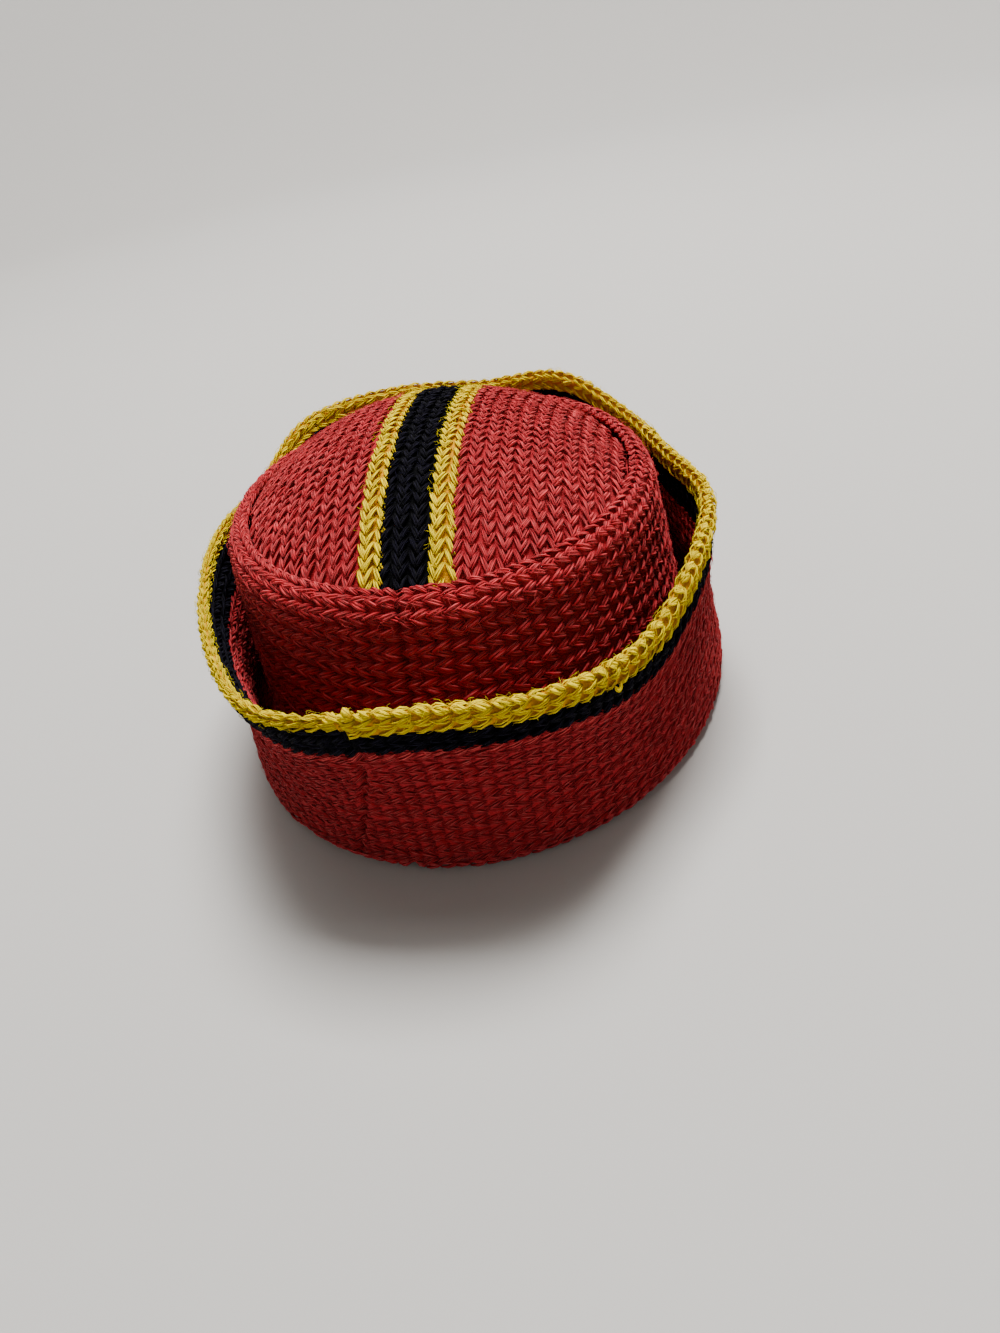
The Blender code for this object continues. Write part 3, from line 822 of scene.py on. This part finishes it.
fold_near = band_foot_reach - CLOTH_WALL + FOLD_OUTER_RADIUS
fold_outside = ring_cloth(arc_line(-FOLD_OUTER_RADIUS, FOLD_OUTER_RADIUS, 280, 360, 13), BRIM_COURSES,
                          0 * edge_reach, BRIM_SEAM)
fold_skin = ring_cloth(np.concatenate([
    arc_line(fold_near, FOLD_OUTER_RADIUS, 180, 270, 9),
    arc_line(-FOLD_OUTER_RADIUS, FOLD_OUTER_RADIUS, 270, 279, 3),
    arc_line(-FOLD_OUTER_RADIUS, FOLD_OUTER_RADIUS - CORE_DEPTH, 290, 360, 7)], 1), BRIM_COURSES,
    0 * edge_reach, BRIM_SEAM)
fold_skin_inner = ring_cloth(np.concatenate([
    arc_line(fold_near, FOLD_INNER_RADIUS, 180, 270, 9),
    arc_line(-FOLD_OUTER_RADIUS, FOLD_INNER_RADIUS, 270, 360, 10)], 1), BRIM_COURSES,
    0 * edge_reach, BRIM_SEAM)


def flattened(part):
    """A skin pressed flat on the floor: no point lies below it."""
    points = part[0].copy()
    points[:, 2] = np.maximum(points[:, 2], 0.0)
    return points, *part[1:]


knitted("lower_fold_knit",
        [flattened(ring_legs(fold_outside, 0.0, 1.0, FOLD_LEGS, -1.0, random)),
         flattened(ring_core((fold_skin_inner, 0.0, 1.0, 0.0, 0, 0), (fold_skin, 1.0, 0.0, 0.0, 0, 0)))],
        [wool["red_wool"], core["red_wool"]], ["lower_fold"], "red_wool")


# The navy rows of the brim.
# Two rows of V stitches in navy wool, above the red ones on both faces of the same cloth.

NAVY_LEGS = 4
NAVY_FIBRES = 300

# The yellow rows above them are lower and thinner at the wearer's left of the seam, higher and
# thicker at its right, and even out towards the front.
LEFT_ROWS_LOWER = 0.30
LEFT_ROWS_THINNER = 0.18
RIGHT_ROWS_HIGHER = 0.24
RIGHT_ROWS_THICKER = 0.10
SEAM_STEP = math.radians(1.5)
RIGHT_ROWS_END = math.radians(250)
ROWS_FADE = math.radians(40)

from_seam = (all_angles - BRIM_SEAM) % math.tau
right_rows = np.clip(from_seam / SEAM_STEP, 0, 1)
right_rows = right_rows * np.clip((RIGHT_ROWS_END - from_seam) / ROWS_FADE, 0, 1)
left_rows = np.clip((math.tau - from_seam) / SEAM_STEP, 0, 1)
left_rows = left_rows * np.clip((from_seam - RIGHT_ROWS_END) / ROWS_FADE, 0, 1)
yellow_height = YELLOW_EDGE_HEIGHT * (1 - LEFT_ROWS_LOWER * left_rows + RIGHT_ROWS_HIGHER * right_rows)
yellow_thickness = (1 - LEFT_ROWS_THINNER * left_rows + RIGHT_ROWS_THICKER * right_rows)[:, None, None]

navy_middle = brim_line(STRIPES_HEIGHT, yellow_height, 13)
navy_outside = ring_cloth(shifted(navy_middle, HALF_WALL), BRIM_COURSES, edge_reach, BRIM_SEAM)
navy_inside = ring_cloth(shifted(navy_middle, -HALF_WALL)[:, ::-1], BRIM_COURSES, edge_reach, BRIM_SEAM)
random = np.random.default_rng(41)
knitted("brim_navy_stripe_knit",
        [ring_legs(navy_outside, 0.0, 1.0, NAVY_LEGS, 1.0, random),
         ring_legs(navy_inside, 0.0, 1.0, NAVY_LEGS, 1.0, random),
         ring_core((navy_outside, 0.0, 1.0, -CORE_DEPTH, NAVY_LEGS, 1),
                   (navy_inside, 0.0, 1.0, -CORE_DEPTH, NAVY_LEGS, 1)),
         ring_fuzz(navy_outside, NAVY_FIBRES, 0.05, 0.95, random)],
        [wool["navy_wool"], wool["navy_wool"], core["navy_wool"], fuzz["navy_wool"]],
        ["brim_navy_stripe"], "navy_wool")


# The yellow edge of the brim.
# The last rows in yellow wool roll over the free edge into a full, round border. The yarn was
# knotted where the round closes at the back, and one loop stands off it.

EDGE_LEGS = 8
EDGE_OUT = 0.0029
EDGE_IN = 0.0024
EDGE_ROUND = 0.0029
EDGE_FIBRES = 700
BUMPS = 46
BUMP_PLACE = 0.44
BUMP_REACH = 0.80
BUMP_LEAN = 1.25
BUMP_FULLNESS = 0.92
BUMP_DEPTH = 0.0006
KNOT_COURSES = (-0.75, -0.35, -0.55, -0.10)
KNOT_PLACES = (0.38, 0.42, 0.52, 0.50)
KNOT_SIZE = 1.6
KNOT_RISE = 0.001
LOOP_COURSE = 15.5
LOOP_PLACE = 0.13
LOOP_SIZE = 0.0015
LOOP_STRETCH = 1.3
LOOP_YARN = 0.0006
LOOP_RISE = 0.0008


def edge_line(points=17):
    """The section of the border: straight up outside, over the edge as a half oval, and straight
    down inside."""
    straight = brim_line(yellow_height, EDGE_ROUND * yellow_thickness[:, 0, 0], 4)
    normal = line_normals(straight)
    over = np.linspace(0, math.pi, points)[None, 1:-1, None]
    top, out = straight[:, -1:], normal[:, -1:]
    up = np.stack([-out[..., 1], out[..., 0]], -1)
    half = np.where(np.cos(over) > 0, EDGE_OUT, EDGE_IN) * yellow_thickness
    oval = top + out * half * np.cos(over) + up * EDGE_ROUND * yellow_thickness * np.sin(over)
    return np.concatenate([straight + normal * EDGE_OUT * yellow_thickness, oval,
                           straight[:, ::-1] - normal[:, ::-1] * EDGE_IN * yellow_thickness], 1)


def crest_bumps(random):
    """The loops that close the last row at the wearer's right of the seam: short, thick legs that
    all lean the same way, side by side along the crest. The last four make the knot at the seam
    and are scaled up, so that they stand off the edge."""
    course = np.concatenate([np.arange(BUMPS), KNOT_COURSES])
    across = np.concatenate([np.full(BUMPS, BUMP_PLACE), KNOT_PLACES])
    width = np.full(len(course), 1.0 / EDGE_LEGS)
    lean = np.full(len(course), -1.0)
    size = np.concatenate([np.full(BUMPS, 1.0), np.full(len(KNOT_COURSES), KNOT_SIZE)])[:, None, None]
    return stitch_legs(edge_cloth, course, across, width, lean, (edge_cloth.pitch, edge_cloth.length),
                       random, BUMP_REACH, BUMP_LEAN, BUMP_FULLNESS * size,
                       BUMP_DEPTH - KNOT_RISE * (size - 1))


def stray_loop():
    """The small loop of yarn that stands off the lower side of the yellow rows: half an oval."""
    share = np.linspace(0, 1, 11)[None, :, None]
    turn = np.linspace(0, math.tau, 6, endpoint=False)[None, None, :]
    swing = math.pi * share
    half = LOOP_YARN * np.minimum(6 * np.minimum(share, 1 - share), 1)
    radius = LOOP_SIZE + half * np.cos(turn)
    along = LOOP_COURSE + radius * np.cos(swing) / edge_cloth.pitch
    across = LOOP_PLACE - radius * LOOP_STRETCH * np.sin(swing) / edge_cloth.length
    lift = LOOP_YARN + half * np.sin(turn) + LOOP_RISE * np.sin(swing)
    return strand_mesh(edge_cloth(along + 0 * turn, across + 0 * turn, lift), share[0, :, 0])


edge_cloth = ring_cloth(edge_line(), BRIM_COURSES, edge_reach, BRIM_SEAM)
random = np.random.default_rng(53)
knitted("brim_yellow_edge_knit",
        [ring_legs(edge_cloth, 0.0, 1.0, EDGE_LEGS, 1.0, random, fullness=1.0, depth=0.00135,
                   arch=0.00110),
         ring_core((edge_cloth, 0.0, 1.0, -CORE_DEPTH, EDGE_LEGS, 1)),
         ring_fuzz(edge_cloth, EDGE_FIBRES, 0.02, 0.98, random), crest_bumps(random), stray_loop()],
        [wool["yellow_wool"], core["yellow_wool"], fuzz["yellow_wool"], wool["yellow_wool"],
         wool["yellow_wool"]],
        ["brim_yellow_edge"], "yellow_wool")


# The floor, the light and the camera.
# A pale studio sweep, a large soft light above and in front of the hat, and a weak one on the sweep.

CAMERA_AZIMUTH = math.radians(11.89)
CAMERA_ELEVATION = math.radians(34.22)
CAMERA_ROLL = math.radians(-11.68)
CAMERA_DISTANCE = 0.4039
CAMERA_TARGET = (-0.0078, 0.0135, 0.0122)
FOCAL_PIXELS = 1003.0
IMAGE_HEIGHT = 1333.0
SENSOR_WIDTH = 36.0
SWEEP_FLAT = 1.5
SWEEP_RADIUS = 1.0
SWEEP_HEIGHT = 4.0
FLOOR_COLOUR = (0.46, 0.45, 0.437)
LAMP_COLOUR = (1.0, 0.98, 0.95)


def plain_material(name, colour, roughness):
    """A plain painted surface with a faint unevenness."""
    material = bpy.data.materials.new(name)
    material.use_nodes = True
    tree = material.node_tree
    shader = tree.nodes["Principled BSDF"]
    body = add(tree, "ShaderNodeTexCoord").outputs["Object"]
    darker = rgb(*(part * 0.96 for part in colour))
    patchy = mixed(tree, cloud(tree, body, 3.0, 2.0), rgb(*colour), darker)
    tree.links.new(patchy, shader.inputs["Base Color"])
    shader.inputs["Roughness"].default_value = roughness
    return material


def sweep():
    """A round studio floor that curves up into a wall: a profile turned about the vertical axis,
    flat first, then a quarter circle, then straight up."""
    bend = np.linspace(0, math.pi / 2, 17)
    outer = SWEEP_FLAT + SWEEP_RADIUS
    radius = np.concatenate([[0.0001, 0.5, 1.0], SWEEP_FLAT + SWEEP_RADIUS * np.sin(bend), [outer]])
    height = np.concatenate([[0, 0, 0], SWEEP_RADIUS * (1 - np.cos(bend)), [SWEEP_HEIGHT]])
    turn = np.linspace(0, math.tau, 73)[:-1, None]
    points = np.stack([radius * np.cos(turn), radius * np.sin(turn), height + 0 * turn], 2)
    rows, size = points.shape[:2]
    row, col = np.meshgrid(np.arange(rows), np.arange(size - 1), indexing="ij")
    after = (row + 1) % rows
    here, there = row * size + col, after * size + col
    faces = np.stack([here, here + 1, there + 1, there], 2)
    mesh = bpy.data.meshes.new("studio_floor")
    mesh.from_pydata(points.reshape(-1, 3).tolist(), [], faces.reshape(-1, 4).tolist())
    mesh.flip_normals()
    mesh.shade_smooth()
    mesh.materials.append(plain_material("pale_floor", FLOOR_COLOUR, 0.7))
    floor = bpy.data.objects.new("studio_floor", mesh)
    bpy.context.scene.collection.objects.link(floor)


def soft_light(name, place, target, size, power, colour):
    """A square area light that looks at a target."""
    data = bpy.data.lights.new(name, "AREA")
    data.shape, data.size, data.energy, data.color = "SQUARE", size, power, colour
    lamp = bpy.data.objects.new(name, data)
    bpy.context.scene.collection.objects.link(lamp)
    lamp.location = place
    lamp.rotation_euler = (Vector(target) - Vector(place)).to_track_quat("-Z", "Y").to_euler()


def camera():
    """A camera at an azimuth and elevation around the hat, rolled about its own line of sight."""
    away = Vector((-math.sin(CAMERA_AZIMUTH) * math.cos(CAMERA_ELEVATION),
                   math.cos(CAMERA_AZIMUTH) * math.cos(CAMERA_ELEVATION), math.sin(CAMERA_ELEVATION)))
    middle = Vector(CAMERA_TARGET) + Vector((*fold_middle, 0))
    right = (-away).cross(Vector((0, 0, 1))).normalized()
    up = right.cross(-away)
    cos, sin = math.cos(CAMERA_ROLL), math.sin(CAMERA_ROLL)
    turned_right, turned_up = cos * right + sin * up, cos * up - sin * right
    data = bpy.data.cameras.new("camera")
    data.sensor_width = SENSOR_WIDTH
    data.lens = FOCAL_PIXELS * SENSOR_WIDTH / IMAGE_HEIGHT
    data.clip_start = 0.01
    eye = bpy.data.objects.new("camera", data)
    bpy.context.scene.collection.objects.link(eye)
    turn = Matrix((turned_right, turned_up, away)).transposed().to_4x4()
    eye.matrix_world = Matrix.Translation(middle + away * CAMERA_DISTANCE) @ turn
    bpy.context.scene.camera = eye


sweep()
soft_light("overhead", (-0.15, -0.75, 2.3), (0, 0, 0.05), 1.0, 134.0, LAMP_COLOUR)
soft_light("backdrop", (0.0, -0.4, 2.4), (0, -2.2, 0.6), 1.4, 25.0, LAMP_COLOUR)
world = bpy.data.worlds.new("studio")
world.use_nodes = True
world.node_tree.nodes["Background"].inputs[0].default_value = (0.9, 0.92, 0.95, 1.0)
world.node_tree.nodes["Background"].inputs[1].default_value = 0.07
bpy.context.scene.world = world
camera()
